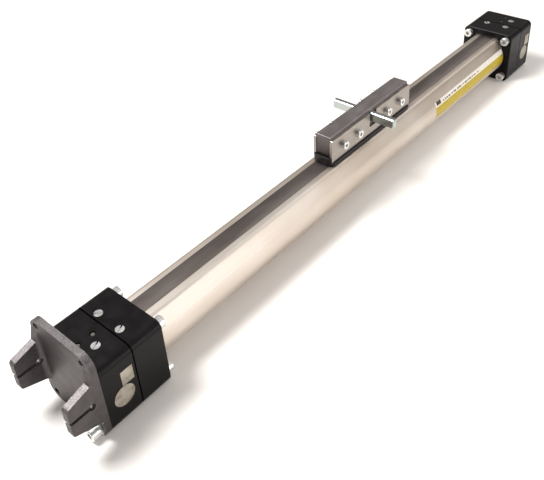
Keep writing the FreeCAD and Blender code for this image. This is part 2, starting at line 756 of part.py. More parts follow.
# Channel plugs: short domed pins pressed into the drilled air channels
plugs = keep(new_body("far_channel_plugs", "end"))
section = new_sketch(plugs, "plug_section", "XY_Plane", f"{half_block} - plug_sink")
for place in plug_x:
    circle(section, place, "0", "plug_dia / 2")
run = pad(plugs, "plug_run", section, "plug_length", back=True)
soften(plugs, "plug_domes", run, lambda e: e.BoundBox.ZMin > value(half_block) - value("plug_sink") - 1e-6,
       "plug_round", "Chamfer")
mirror_to_near(plugs, "near_channel_plugs")

# Cushion needles: a slotted screw with a coned tip in each end cap
needle = keep(new_body("far_cushion_needle", "end"))
tip_z = f"({half_block} - needle_head_height - needle_stem_length)"
section = new_sketch(needle, "needle_section", "XZ_Plane", "needle_side")
outline(section, [
    (needle_x, tip_z),
    (f"{needle_x} + needle_tip_dia / 2", tip_z),
    (f"{needle_x} + needle_stem_dia / 2", f"{tip_z} + needle_cone"),
    (f"{needle_x} + needle_stem_dia / 2", f"{half_block} - needle_head_height"),
    (f"{needle_x} + needle_head_dia / 2", f"{half_block} - needle_head_height"),
    (f"{needle_x} + needle_head_dia / 2", half_block),
    (needle_x, half_block),
])
turn(needle, "needle_turn", section, "Edge7")
section = new_sketch(needle, "needle_slit", "XY_Plane", half_block)
slit(section, needle_x, "-needle_side", "needle_head_dia", "front_slit_turn")
pocket(needle, "needle_slit_cut", section, "slit_depth")
mirror_to_near(needle, "near_cushion_needle")

# Rings inside the ends: the spigot ring and the cushion ring
ring = keep(new_body("far_spigot_ring", "end"))
section = new_sketch(ring, "ring_section", "XZ_Plane")
rectangle(section, f"{groove_start} + ring_squeeze", f"{spigot_r} - ring_groove_depth + ring_squeeze",
          f"{groove_start} + ring_groove_width - ring_squeeze", "bore_dia / 2 - ring_squeeze")
turn(ring, "ring_turn", section, "H_Axis")
mirror_to_near(ring, "near_spigot_ring")
ring = keep(new_body("far_cushion_ring", "end"))
section = new_sketch(ring, "cushion_ring_section", "XZ_Plane")
rectangle(section, f"{spigot_face} + cushion_groove_back + ring_squeeze", "plunger_dia / 2 + cushion_ring_gap",
          f"{spigot_face} + cushion_groove_back + cushion_groove_width - ring_squeeze",
          "cushion_bore_dia / 2 + cushion_groove_depth - ring_squeeze")
turn(ring, "cushion_ring_turn", section, "H_Axis")
mirror_to_near(ring, "near_cushion_ring")

# Foot bracket on the near end: a plate with two slotted forks
bracket = keep(new_body("mounting_bracket", "bracket"))
plate_low = f"(-{half_block})"
plate_high = f"(bracket_height - {half_block})"
section = new_sketch(bracket, "plate_section", "YZ_Plane")
rectangle(section, f"-{bracket_width} / 2", plate_low, f"{bracket_width} / 2", plate_high)
run = pad(bracket, "plate", section, "bracket_thick")
soften(bracket, "plate_corners", run, lambda e: along(e, X_WAY), "bracket_corner")
section = new_sketch(bracket, "fork_section", "XZ_Plane")
fork_tip = "(bracket_thick + fork_reach)"
outline(section, [
    ("bracket_thick / 2", "-fork_root_low"),
    ("bracket_thick", "-fork_root_low"),
    (fork_tip, "-fork_tip_low"),
    (fork_tip, "fork_tip_high"),
    ("bracket_thick + gusset_depth", "fork_root_high"),
    ("bracket_thick", f"{plate_high} - bracket_corner"),
    ("bracket_thick / 2", f"{plate_high} - bracket_corner"),
])
run = pad(bracket, "forks", section, bracket_width, middle=True)
gap = new_sketch(bracket, "fork_gap", "XY_Plane", plate_high)
rectangle(gap, "bracket_thick", f"fork_thick - {bracket_width} / 2",
          f"{fork_tip} + fork_thick", f"{bracket_width} / 2 - fork_thick")
run = pocket(bracket, "fork_gap_cut", gap)
run = soften(bracket, "fork_tips", run, lambda e: along(e, Y_WAY)
             and abs(e.Vertexes[0].Point.x - value(fork_tip)) < 1e-6, "fork_tip_round")
run = soften(bracket, "fork_roots", run, lambda e: along(e, Z_WAY) and e.Length > value("fork_root_high")
             and abs(e.Vertexes[0].Point.x - value("bracket_thick")) < 1e-6, "fork_root_round")
slot = new_sketch(bracket, "fork_slot_section", "XZ_Plane")
hole_x = "(bracket_thick + fork_hole_offset)"
rectangle(slot, hole_x, "fork_hole_height - fork_slot / 2",
          f"{fork_tip} + fork_thick", "fork_hole_height + fork_slot / 2")
pocket(bracket, "fork_slot_cut", slot, f"{bracket_width} + fork_thick", middle=True)
hole = new_sketch(bracket, "fork_hole_section", "XZ_Plane")
circle(hole, hole_x, "fork_hole_height", "fork_hole_dia / 2")
pocket(bracket, "fork_hole_cut", hole, f"{bracket_width} + fork_thick", middle=True)
holes = new_sketch(bracket, "bracket_holes", "YZ_Plane")
for side in ("-1", "1"):
    circle(holes, f"{side} * screw_pitch / 2", "-screw_pitch / 2", "bracket_hole_dia / 2")
    circle(holes, f"{side} * {bracket_top_pitch} / 2", f"{plate_high} - bracket_top_inset", "bracket_hole_dia / 2")
pocket(bracket, "bracket_hole_cut", holes, "bracket_thick", back=True)

# Bracket screw with its flat washer and spring washer
screw_y = "(screw_pitch / 2)"
screw_z = "(-screw_pitch / 2)"
washer = keep(new_body("bracket_washer", "bracket"))
section = new_sketch(washer, "washer_section", "YZ_Plane", "bracket_thick")
circle(section, screw_y, screw_z, "washer_dia / 2")
circle(section, screw_y, screw_z, "screw_dia / 2 + washer_gap")
pad(washer, "washer_run", section, "washer_thick")
spring = keep(new_body("bracket_spring_washer", "bracket"))
section = new_sketch(spring, "spring_section", "YZ_Plane", "bracket_thick + washer_thick")
circle(section, screw_y, screw_z, "spring_dia / 2")
circle(section, screw_y, screw_z, "screw_dia / 2 + washer_gap")
pad(spring, "spring_run", section, "spring_thick")
split = new_sketch(spring, "spring_split_section", "YZ_Plane", "bracket_thick + washer_thick")
rectangle(split, f"{screw_y} - spring_split / 2", screw_z, f"{screw_y} + spring_split / 2", f"{screw_z} + spring_dia")
pocket(spring, "spring_split_cut", split, "spring_thick", back=True)
screw = keep(new_body("bracket_screw", "bracket"))
seat_x = "(bracket_thick + washer_thick + spring_thick)"
section = new_sketch(screw, "screw_head_section", "YZ_Plane", seat_x)
circle(section, screw_y, screw_z, "cap_head_dia / 2")
run = pad(screw, "screw_head", section, "cap_head_height")
soften(screw, "screw_head_edge", run, lambda e: abs(e.BoundBox.XMin - value(seat_x) - value("cap_head_height")) < 1e-6,
       "cap_edge", "Chamfer")
section = new_sketch(screw, "screw_shank_section", "YZ_Plane", f"-{screw_reach}")
circle(section, screw_y, screw_z, "screw_dia / 2")
pad(screw, "screw_shank", section, f"{screw_reach} + {seat_x}")
section = new_sketch(screw, "screw_socket_section", "YZ_Plane", f"{seat_x} + cap_head_height")
hexagon(section, screw_y, screw_z, "cap_socket_width")
pocket(screw, "screw_socket", section, "cap_socket_depth")

# Driver: core in the bore, web through the slot and saddle under the band
driver = keep(new_body("driver", "carriage"))
section = new_sketch(driver, "saddle_section", "XZ_Plane")
left_half, first_r, second_r = s_curve("arch_foot", "arch_top", crown, "arch_rise", "-saddle_top_gap", -1)
right_half = s_curve("arch_foot", "arch_top", crown, "arch_rise", "-saddle_top_gap", 1)[0]
outline(section, left_half + right_half[::-1], {
    0: (first_r, -1, False),
    1: (second_r, 1, False),
    3: (second_r, 1, False),
    4: (first_r, -1, False),
})
pad(driver, "saddle", section, "yoke_width - 2 * saddle_gap", middle=True)
trim = new_sketch(driver, "saddle_trim", "XZ_Plane")
outline(trim, [
    ("-arch_foot - wall", f"{crown} - wall"),
    ("arch_foot + wall", f"{crown} - wall"),
    ("arch_foot + wall", f"{crown} + arch_rise"),
    ("saddle_half", f"{crown} + arch_rise"),
    ("saddle_half", saddle_low),
    ("-saddle_half", saddle_low),
    ("-saddle_half", f"{crown} + arch_rise"),
    ("-arch_foot - wall", f"{crown} + arch_rise"),
])
pocket(driver, "saddle_trim_cut", trim, "2 * yoke_width", middle=True)
section = new_sketch(driver, "rib_section", "XZ_Plane")
rectangle(section, "-rib_half", rib_low, "rib_half", f"{rib_low} + rib_height")
pad(driver, "ribs", section, "yoke_width + 2 * rib_depth", middle=True)
section = new_sketch(driver, "web_section", "XZ_Plane")
rectangle(section, "-web_half", "0", "web_half", f"{saddle_low} + saddle_lift")
pad(driver, "web", section, "slot_width - 2 * web_gap", middle=True)
section = new_sketch(driver, "core_section", "YZ_Plane")
circle(section, "0", "0", "bore_dia / 2 - core_gap")
pad(driver, "core", section, "2 * core_half", middle=True)
section = new_sketch(driver, "tenon_section", "YZ_Plane")
circle(section, "0", "0", "tenon_dia / 2")
pad(driver, "tenons", section, "2 * core_half + 2 * tenon_length", middle=True)
tunnel = new_sketch(driver, "tunnel_section", "XZ_Plane")
strip_low = f"(-{mid_r} + sqrt({mid_r} ^ 2 - {half_seal} ^ 2) - tunnel_gap)"
left_half, first_r, second_r = s_curve("dip_foot", "dip_bottom", mid_r, "dip_depth", strip_low, -1, True)
right_half = s_curve("dip_foot", "dip_bottom", mid_r, "dip_depth", strip_low, 1, True)[0]
roof = f"({mid_r} - dip_depth + seal_thick + tunnel_gap + seal_gap)"
outline(tunnel, left_half + right_half[::-1] + [
    ("dip_foot", f"{mid_r} + wall / 2"),
    ("dip_bottom", f"{mid_r} + wall / 2"),
    ("dip_bottom", roof),
    ("-dip_bottom", roof),
    ("-dip_bottom", f"{mid_r} + wall / 2"),
    ("-dip_foot", f"{mid_r} + wall / 2"),
], {
    0: (first_r, 1, False),
    1: (second_r, -1, False),
    3: (second_r, -1, False),
    4: (first_r, 1, False),
})
pocket(driver, "tunnel_cut", tunnel, "seal_width + 2 * tunnel_side_gap", middle=True)
holes = new_sketch(driver, "tenon_pin_holes", "XZ_Plane")
for side in ("-1", "1"):
    circle(holes, f"{side} * {pin_x}", "0", "pin_dia / 2 + plug_gap")
pocket(driver, "tenon_pin_cut", holes, "2 * bore_dia", middle=True)

# Pistons on the tenons, with lip seal, wear ring, cross pin and plunger
carriage_x = f"({middle_x} + rest_offset)"
piston_r = "(bore_dia / 2 - piston_gap)"
piston = keep(new_body("far_piston", "carriage"))
section = new_sketch(piston, "piston_section", "XZ_Plane")
lip_start = f"({piston_face} - lip_back - lip_width)"
tenon_r = "(tenon_dia / 2 + tenon_gap)"
outline(section, [
    ("core_half", tenon_r),
    ("core_half", piston_r),
    ("core_half + wear_back", piston_r),
    ("core_half + wear_back", f"{piston_r} - wear_depth"),
    ("core_half + wear_back + wear_width", f"{piston_r} - wear_depth"),
    ("core_half + wear_back + wear_width", piston_r),
    (lip_start, piston_r),
    (lip_start, f"{piston_r} - lip_depth"),
    (f"{lip_start} + lip_width", f"{piston_r} - lip_depth"),
    (f"{lip_start} + lip_width", piston_r),
    (piston_face, piston_r),
    (piston_face, "plunger_dia / 2"),
    (f"{piston_face} + plunger_length - plunger_nose", "plunger_dia / 2"),
    (f"{piston_face} + plunger_length", "plunger_dia / 2 - plunger_nose / 2"),
    (f"{piston_face} + plunger_length", "0"),
    ("core_half + tenon_length + piston_gap", "0"),
    ("core_half + tenon_length + piston_gap", tenon_r),
])
turn(piston, "piston_turn", section, "H_Axis")
hole = new_sketch(piston, "pin_hole", "XZ_Plane")
circle(hole, pin_x, "0", "pin_dia / 2 + plug_gap")
pocket(piston, "pin_cut", hole, "2 * bore_dia", middle=True)
mirror_to_near(piston, "near_piston", carriage_x)
pin = keep(new_body("far_piston_pin", "carriage"))
section = new_sketch(pin, "pin_section", "XZ_Plane")
circle(section, pin_x, "0", "pin_dia / 2")
pad(pin, "pin_run", section, f"2 * ({piston_r} - wear_depth) - 2 * wear_gap", middle=True)
mirror_to_near(pin, "near_piston_pin", carriage_x)
lip = keep(new_body("far_piston_seal", "carriage"))
section = new_sketch(lip, "lip_section", "XZ_Plane")
outline(section, [
    (f"{lip_start} + wear_gap", f"{piston_r} - lip_depth + lip_gap"),
    (f"{lip_start} + lip_width - wear_gap", f"{piston_r} - lip_depth + lip_gap"),
    (f"{lip_start} + lip_width - wear_gap", "bore_dia / 2 - lip_gap"),
    (f"{lip_start} + lip_width / 2", f"{piston_r} - lip_gap"),
    (f"{lip_start} + wear_gap", f"{piston_r} - lip_gap"),
])
turn(lip, "lip_turn", section, "H_Axis")
mirror_to_near(lip, "near_piston_seal", carriage_x)
wear = keep(new_body("far_wear_ring", "carriage"))
section = new_sketch(wear, "wear_section", "XZ_Plane")
rectangle(section, "core_half + wear_back + wear_gap", f"{piston_r} - wear_depth + lip_gap",
          "core_half + wear_back + wear_width - wear_gap", "bore_dia / 2 - wear_gap")
turn(wear, "wear_turn", section, "H_Axis")
mirror_to_near(wear, "near_wear_ring", carriage_x)

# Yoke: block over the cover band, open below along the arch of the band
yoke = keep(new_body("carriage_yoke", "carriage"))
section = new_sketch(yoke, "yoke_section", "XZ_Plane")
rectangle(section, f"-{yoke_half}", frame_top, yoke_half, yoke_top)
run = pad(yoke, "yoke_block", section, "yoke_width", middle=True)
run = soften(yoke, "yoke_top_edges", run, lambda e: e.BoundBox.ZMin > value(yoke_top) - 1e-6, "yoke_edge")
arch = new_sketch(yoke, "yoke_arch", "XZ_Plane")
left_half, first_r, second_r = s_curve("arch_foot", "arch_top", crown, "arch_rise", "band_thick + yoke_arch_gap", -1)
right_half = s_curve("arch_foot", "arch_top", crown, "arch_rise", "band_thick + yoke_arch_gap", 1)[0]
outline(arch, left_half + right_half[::-1], {
    0: (first_r, -1, False),
    1: (second_r, 1, False),
    3: (second_r, 1, False),
    4: (first_r, -1, False),
})
pocket(yoke, "yoke_arch_cut", arch, "2 * yoke_width", middle=True)
window = new_sketch(yoke, "bar_window", "XZ_Plane")
rectangle(window, "-bar_width / 2 - bar_gap", f"{bar_low} - bar_gap", "bar_width / 2 + bar_gap",
          f"{bar_low} + bar_height + bar_gap")
pocket(yoke, "bar_window_cut", window, "2 * yoke_width", middle=True)
screw_xs = ["-side_screw_out", "-side_screw_in", "side_screw_in", "side_screw_out"]
holes = new_sketch(yoke, "yoke_screw_holes", "XZ_Plane")
for place in screw_xs:
    circle(holes, place, side_screw_z, "side_screw_dia / 2 + side_screw_gap")
pocket(yoke, "yoke_screw_cut", holes, "2 * yoke_width", middle=True)

# Side plates, notched over the cross bar and grooved for the saddle ribs
for name, face, inner_lift, inward in (
        ("front_side_plate", "yoke_width / 2", "yoke_width / 2", True),
        ("back_side_plate", "-yoke_width / 2 - plate_thick", "-yoke_width / 2", False)):
    plate = keep(new_body(name, "carriage"))
    section = new_sketch(plate, name + "_section", "XZ_Plane", face)
    outline(section, [
        ("-plate_half", frame_top),
        ("plate_half", frame_top),
        ("plate_half", plate_top),
        ("notch_half", plate_top),
        ("notch_half", f"{frame_top} + notch_lift"),
        ("-notch_half", f"{frame_top} + notch_lift"),
        ("-notch_half", plate_top),
        ("-plate_half", plate_top),
    ])
    run = pad(plate, name + "_run", section, "plate_thick")
    run = soften(plate, name + "_notch", run, lambda e: along(e, Y_WAY)
                 and abs(e.Vertexes[0].Point.z - value(frame_top) - value("notch_lift")) < 1e-6, "notch_round")
    run = soften(plate, name + "_corners", run, lambda e: along(e, Y_WAY)
                 and abs(abs(e.Vertexes[0].Point.x) - value("plate_half")) < 1e-6
                 and e.Vertexes[0].Point.z > value(frame_top) + 1e-6, "plate_corner")
    holes = new_sketch(plate, name + "_holes", "XZ_Plane")
    for place in screw_xs:
        circle(holes, place, side_screw_z, "side_screw_dia / 2 + side_screw_gap")
    pocket(plate, name + "_hole_cut", holes, "2 * yoke_width", middle=True)
    groove = new_sketch(plate, name + "_groove", "XZ_Plane", inner_lift)
    rectangle(groove, "-rib_half - plate_groove_gap", f"{rib_low} - plate_groove_gap",
              "rib_half + plate_groove_gap", f"{rib_low} + rib_height + plate_groove_gap")
    pocket(plate, name + "_groove_cut", groove, "rib_depth + plate_groove_gap", back=inward)

# Four through screws with nuts
outside = "(yoke_width / 2 + plate_thick)"
side_screws = keep(new_body("side_screws", "carriage"))
section = new_sketch(side_screws, "side_heads_section", "XZ_Plane", outside)
for place in screw_xs:
    circle(section, place, side_screw_z, "side_head_dia / 2")
run = pad(side_screws, "side_heads", section, "side_head_height")
section = new_sketch(side_screws, "side_shanks_section", "XZ_Plane", outside)
for place in screw_xs:
    circle(section, place, side_screw_z, "side_screw_dia / 2")
pad(side_screws, "side_shanks", section, f"2 * {outside} + side_tail", back=True)
section = new_sketch(side_screws, "side_sockets_section", "XZ_Plane", f"{outside} + side_head_height")
for place in screw_xs:
    hexagon(section, place, side_screw_z, "side_socket_width")
pocket(side_screws, "side_sockets", section, "side_socket_depth")
nuts = keep(new_body("side_nuts", "carriage"))
section = new_sketch(nuts, "nut_section", "XZ_Plane", f"-{outside}")
for place in screw_xs:
    hexagon(section, place, side_screw_z, "nut_width")
    circle(section, place, side_screw_z, "side_screw_dia / 2 + side_screw_gap")
pad(nuts, "nut_run", section, "nut_height", back=True)

# Cross bar through the yoke
bar = keep(new_body("cross_bar", "carriage"))
section = new_sketch(bar, "bar_section", "XZ_Plane")
rectangle(section, "-bar_width / 2", bar_low, "bar_width / 2", f"{bar_low} + bar_height")
run = pad(bar, "bar_run", section, "bar_length", middle=True)
soften(bar, "bar_edges", run, lambda e: True, "bar_edge", "Chamfer")

# Wiper frame round the foot of the carriage, with a low wall at each end
frame = keep(new_body("wiper_frame", "carriage"))
section = new_sketch(frame, "frame_section", "XY_Plane", frame_low)
rectangle(section, f"-{frame_half}", "-frame_width / 2", frame_half, "frame_width / 2")
run = pad(frame, "frame_run", section, "frame_height")
run = soften(frame, "frame_corners", run, lambda e: along(e, Z_WAY), "frame_corner")
run = soften(frame, "frame_edges", run, lambda e: e.BoundBox.ZMin > value(frame_top) - 1e-6, "frame_edge")
wall_x = "(plate_half + wall_gap)"
corner_x = f"({frame_half} - frame_corner)"
corner_y = "(frame_width / 2 - frame_corner)"
wall_y = f"({corner_y} + sqrt(frame_corner ^ 2 - ({wall_x} - {corner_x}) ^ 2))"
walls = new_sketch(frame, "end_walls", "XY_Plane", frame_low)
outline(walls, [
    (wall_x, f"-{wall_y}"),
    (frame_half, f"-{corner_y}"),
    (frame_half, corner_y),
    (wall_x, wall_y),
], {0: ("frame_corner", -1, False), 2: ("frame_corner", -1, False)})
outline(walls, [
    (f"-{wall_x}", wall_y),
    (f"-{frame_half}", corner_y),
    (f"-{frame_half}", f"-{corner_y}"),
    (f"-{wall_x}", f"-{wall_y}"),
], {0: ("frame_corner", -1, False), 2: ("frame_corner", -1, False)})
run = pad(frame, "end_wall_run", walls, "frame_height + wall_height")
run = soften(frame, "wall_edges", run, lambda e: e.BoundBox.ZMin > value(f"{frame_top} + wall_height") - 1e-6
             and abs(e.Vertexes[0].Point.x) + abs(e.Vertexes[-1].Point.x) > 2 * value(wall_x) + 1e-3, "wall_edge")
run = soften(frame, "foot_edges", run, lambda e: e.BoundBox.ZMax < value(frame_low) + 1e-6, "frame_foot_edge", "Chamfer")
window = new_sketch(frame, "frame_window_section", "XY_Plane", frame_top)
rectangle(window, "-frame_window", "-yoke_width / 2 - frame_window_gap",
          "frame_window", "yoke_width / 2 + frame_window_gap")
pocket(frame, "frame_window_cut", window, "frame_height")

# Every feature is sound and every piece is a valid solid before it is written
doc.recompute()
for item in doc.Objects:
    if "Invalid" in item.State or "Error" in item.State:
        raise RuntimeError("failed: " + item.Name)
for piece in kept:
    if piece.Shape.isNull() or not piece.Shape.isValid():
        raise RuntimeError("bad solid: " + piece.Label)
for piece in kept:
    piece.Shape.exportStep("parts/" + piece.Label + ".step")
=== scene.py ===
import bpy
import bmesh
import math
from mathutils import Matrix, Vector


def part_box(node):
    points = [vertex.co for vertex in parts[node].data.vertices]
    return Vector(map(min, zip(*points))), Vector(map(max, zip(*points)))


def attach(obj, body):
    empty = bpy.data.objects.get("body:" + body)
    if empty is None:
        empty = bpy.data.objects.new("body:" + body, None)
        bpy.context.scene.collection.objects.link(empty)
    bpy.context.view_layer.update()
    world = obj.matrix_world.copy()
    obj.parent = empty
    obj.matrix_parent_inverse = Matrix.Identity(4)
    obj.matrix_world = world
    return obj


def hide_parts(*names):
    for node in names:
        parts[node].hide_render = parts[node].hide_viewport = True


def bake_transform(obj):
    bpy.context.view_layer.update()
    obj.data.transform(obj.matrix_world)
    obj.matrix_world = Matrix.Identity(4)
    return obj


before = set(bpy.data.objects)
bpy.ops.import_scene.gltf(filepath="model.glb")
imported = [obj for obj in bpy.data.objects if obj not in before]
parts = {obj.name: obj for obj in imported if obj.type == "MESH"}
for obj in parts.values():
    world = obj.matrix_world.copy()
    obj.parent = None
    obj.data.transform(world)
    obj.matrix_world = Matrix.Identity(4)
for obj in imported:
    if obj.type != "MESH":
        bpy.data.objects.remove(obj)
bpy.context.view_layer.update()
bpy.ops.object.select_all(action="DESELECT")
mm = 0.001

# Barrel: a slotted, nearly round aluminium extrusion, clear anodised after it is cut to length.
# The die leaves faint lengthwise lines, drawn coarser than they are so that they show. Anodising
# gives a warm satin surface that spreads highlights without mirroring.


def from_hex(text):
    """An sRGB hex colour as linear red, green, blue and full alpha."""
    shares = [int(text[i:i + 2], 16) / 255 for i in (0, 2, 4)]
    return tuple(s / 12.92 if s <= 0.04045 else ((s + 0.055) / 1.055) ** 2.4 for s in shares) + (1.0,)


def add_node(tree, kind, given):
    """Adds one node. A name is a setting or a socket, and a (node, output) pair is linked."""
    made = tree.nodes.new("ShaderNode" + kind)
    for name, value in given.items():
        if isinstance(name, str) and name not in made.inputs:
            setattr(made, name, value)
        elif isinstance(value, tuple) and isinstance(value[0], bpy.types.Node):
            tree.links.new(value[0].outputs[value[1]], made.inputs[name])
        else:
            made.inputs[name].default_value = value
    return made


def new_finish(name, metallic, roughness, bump_reach, **constants):
    """A material with its shader, its place on the piece and its bump, ready for a pattern."""
    material = bpy.data.materials.new(name)
    material.use_nodes = True
    tree = material.node_tree
    tree.nodes.clear()
    place = add_node(tree, "TexCoord", {})
    bump = add_node(tree, "Bump", {"Strength": 1.0, "Distance": bump_reach * mm})
    shader = add_node(tree, "BsdfPrincipled",
                      {"Metallic": metallic, "Roughness": roughness, "Normal": (bump, 0)})
    for socket, value in constants.items():
        shader.inputs[socket.replace("_", " ")].default_value = value
    add_node(tree, "OutputMaterial", {"Surface": (shader, 0)})
    return material, tree, place, bump, shader


def cells(tree, place, sizes, detail=3.0):
    """Uneven cells of the given millimetres along x, y and z."""
    spread = add_node(tree, "Mapping",
                      {"Vector": (place, "Object"), "Scale": [1 / (s * mm) for s in sizes]})
    return add_node(tree, "TexNoise", {"Vector": (spread, 0), "Scale": 1.0, "Detail": detail})


def two_tone(tree, factor, first, second, low=0.3, high=0.7):
    """Goes from the first hex colour to the second as factor goes from low to high."""
    share = add_node(tree, "MapRange", {"Value": factor, "From Min": low, "From Max": high})
    return add_node(tree, "Mix",
                    {"data_type": "RGBA", 0: (share, 0), 6: from_hex(first), 7: from_hex(second)})


def polish_unevenly(tree, shader, pattern, least, most):
    """Lets the roughness go from least to most with a pattern."""
    low, high = 0.3, 0.7
    satin = add_node(tree, "MapRange", {"Value": (pattern, 0), "From Min": low, "From Max": high,
                                        "To Min": least, "To Max": most})
    tree.links.new(satin.outputs[0], shader.inputs["Roughness"])


def lay_on(tree, bump, shader, colour, grain):
    """Gives the shader its colour and the bump its grain."""
    tree.links.new(colour.outputs[2], shader.inputs["Base Color"])
    tree.links.new(grain.outputs[0], bump.inputs["Height"])


def dress(piece, material):
    """Gives every material slot of a piece the same finish."""
    if not piece.material_slots:
        piece.data.materials.append(material)
    for slot in piece.material_slots:
        slot.material = material


anodised, tree, place, bump, shader = new_finish("clear_anodised_extrusion", 1.0, 0.46, 0.004)
die_lines = cells(tree, place, (400, 0.7, 0.7))
clouds = cells(tree, place, (90, 40, 40))
tint = two_tone(tree, (die_lines, 0), "D0C7BE", "D7CFC7")
soiled = two_tone(tree, (clouds, 0), "F0EBE5", "FFFFFF", 0.35, 0.6)
colour = add_node(tree, "Mix",
                  {"data_type": "RGBA", "blend_type": "MULTIPLY", 0: 1.0, 6: (tint, 2), 7: (soiled, 2)})
polish_unevenly(tree, shader, clouds, 0.46, 0.52)
lay_on(tree, bump, shader, colour, die_lines)
dress(parts["barrel"], anodised)

# Label: a thin printed film stuck along the barrel's front flank, up against the far block. A pale
# field with a dark square and a row of short dashes lies above a yellow one, and all of it has the
# faint gloss of plastic film.


def model_on(piece):
    """Goes into edit mode on one piece with all of it selected."""
    bpy.ops.object.select_all(action="DESELECT")
    piece.select_set(True)
    bpy.context.view_layer.objects.active = piece
    bpy.ops.object.mode_set(mode="EDIT")
    bpy.ops.mesh.select_all(action="SELECT")


def pick_faces(piece, wanted):
    """Selects, in edit mode, only the faces whose middle and normal pass the test."""
    mesh = bmesh.from_edit_mesh(piece.data)
    bpy.ops.mesh.select_all(action="DESELECT")
    for face in mesh.faces:
        face.select_set(wanted(face.calc_center_median(), face.normal))
    bmesh.update_edit_mesh(piece.data)


def new_piece(name, scale=(1, 1, 1)):
    """Names the primitive just added, stretches it and puts its place into its mesh."""
    piece = bpy.context.object
    piece.name = name
    piece.scale = scale
    bpy.ops.object.transform_apply(location=True, rotation=True, scale=True)
    return piece


def settle(piece):
    """Leaves edit mode, applies the modifiers, and smooths all but the sharp edges."""
    sharp = math.radians(35)
    if bpy.context.object.mode == "EDIT":
        bpy.ops.object.mode_set(mode="OBJECT")
    bpy.ops.object.select_all(action="DESELECT")
    piece.select_set(True)
    bpy.context.view_layer.objects.active = piece
    for modifier in list(piece.modifiers):
        bpy.ops.object.modifier_apply(modifier=modifier.name)
    bpy.ops.object.shade_smooth_by_angle(angle=sharp)
    bpy.ops.object.select_all(action="DESELECT")
    return piece


axis_height, barrel_radius = 27.0 * mm, 20.5 * mm
label_start, label_end = 117.5 * mm, 258.0 * mm
label_high, field_line, label_low = 35, 17.5, -11
glue_thick, film_thick = 0.02 * mm, 0.08 * mm
bpy.ops.mesh.primitive_cylinder_add(vertices=128, radius=barrel_radius + glue_thick,
                                    depth=label_end - label_start, end_fill_type="NOTHING",
                                    location=((label_start + label_end) / 2, 0, axis_height),
                                    rotation=(0, math.pi / 2, 0))
label = new_piece("label_film")
model_on(label)
for degrees, above in ((label_high, True), (label_low, False)):
    bpy.ops.mesh.select_all(action="SELECT")
    bpy.ops.mesh.bisect(plane_co=(0, 0, axis_height), clear_outer=above, clear_inner=not above,
                        plane_no=(0, math.sin(math.radians(degrees)), math.cos(math.radians(degrees))))
bpy.ops.mesh.select_all(action="SELECT")
bpy.ops.mesh.normals_make_consistent(inside=False)
film = label.modifiers.new("film", "SOLIDIFY")
film.thickness, film.offset = film_thick, 1.0
settle(label)
printed, tree, place, bump, shader = new_finish("printed_film", 0.0, 0.32, 0.02, Specular_IOR_Level=0.3)
split = add_node(tree, "SeparateXYZ", {"Vector": (place, "Object")})
level = add_node(tree, "Math", {"operation": "SUBTRACT", 0: (split, 2), 1: axis_height})
outward = add_node(tree, "Math", {"operation": "MULTIPLY", 0: (split, 1), 1: -1.0})
angle = add_node(tree, "Math", {"operation": "ARCTAN2", 0: (level, 0), 1: (outward, 0)})
yellow_field = add_node(tree, "Math",
                        {"operation": "LESS_THAN", 0: (angle, 0), 1: math.radians(field_line)})
fibres = cells(tree, place, (6, 2, 2), 4.0)
pale = two_tone(tree, (fibres, 0), "EDE6DA", "F8F3EA")
yellow = two_tone(tree, (fibres, 0), "B2980A", "C6AE14")
fields = add_node(tree, "Mix", {"data_type": "RGBA", 0: (yellow_field, 0), 6: (pale, 2), 7: (yellow, 2)})
dash_long, endless, dash_cut = 1.9, 400, 0.47
dash_lengths = cells(tree, place, (dash_long, endless, endless), 0.0)
dashes = add_node(tree, "Math", {"operation": "GREATER_THAN", 0: (dash_lengths, 0), 1: dash_cut})
ink = None
dark_square, dash_row = (119.5, 127.5, 21.0, 32.0, False), (131.0, 206.0, 21.5, 25.5, True)
for first, last, low, high, broken in (dark_square, dash_row):
    in_length = add_node(tree, "Math", {"operation": "COMPARE", 0: (split, 0),
                                        1: (first + last) / 2 * mm, 2: (last - first) / 2 * mm})
    in_height = add_node(tree, "Math", {"operation": "COMPARE", 0: (angle, 0),
                                        1: math.radians((low + high) / 2),
                                        2: math.radians((high - low) / 2)})
    mark = add_node(tree, "Math", {"operation": "MULTIPLY", 0: (in_length, 0), 1: (in_height, 0)})
    if broken:
        mark = add_node(tree, "Math", {"operation": "MULTIPLY", 0: (mark, 0), 1: (dashes, 0)})
    if ink is not None:
        mark = add_node(tree, "Math", {"operation": "MAXIMUM", 0: (ink, 0), 1: (mark, 0)})
    ink = mark
inked = add_node(tree, "Mix", {"data_type": "RGBA", 0: (ink, 0), 6: (fields, 2), 7: from_hex("4A4440")})
lay_on(tree, bump, shader, inked, fibres)
dress(label, printed)
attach(label, "cylinder")

# Magnet strips: two strips of rubber filled with magnet powder, pressed into grooves in the crown.
# They hold the cover band down. Only under its arch are they bare, dull and nearly black.
magnet, tree, place, bump, shader = new_finish("magnet_rubber", 0.0, 0.75, 0.05)
powder = cells(tree, place, (0.6, 0.6, 0.6))
lay_on(tree, bump, shader, two_tone(tree, (powder, 0), "26221F", "3A3531"), powder)
dress(parts["magnet_strips"], magnet)

# Cover band: a rolled stainless strip that the magnet strips hold on the crown over the slot.
# The carriage lifts it in a low arch, and it lies flat on both sides as the carriage moves.
# Rolling leaves it grey-brown and dull, with fine lengthwise lines, drawn coarser than they are.
carriage_middle = 24.3 * mm


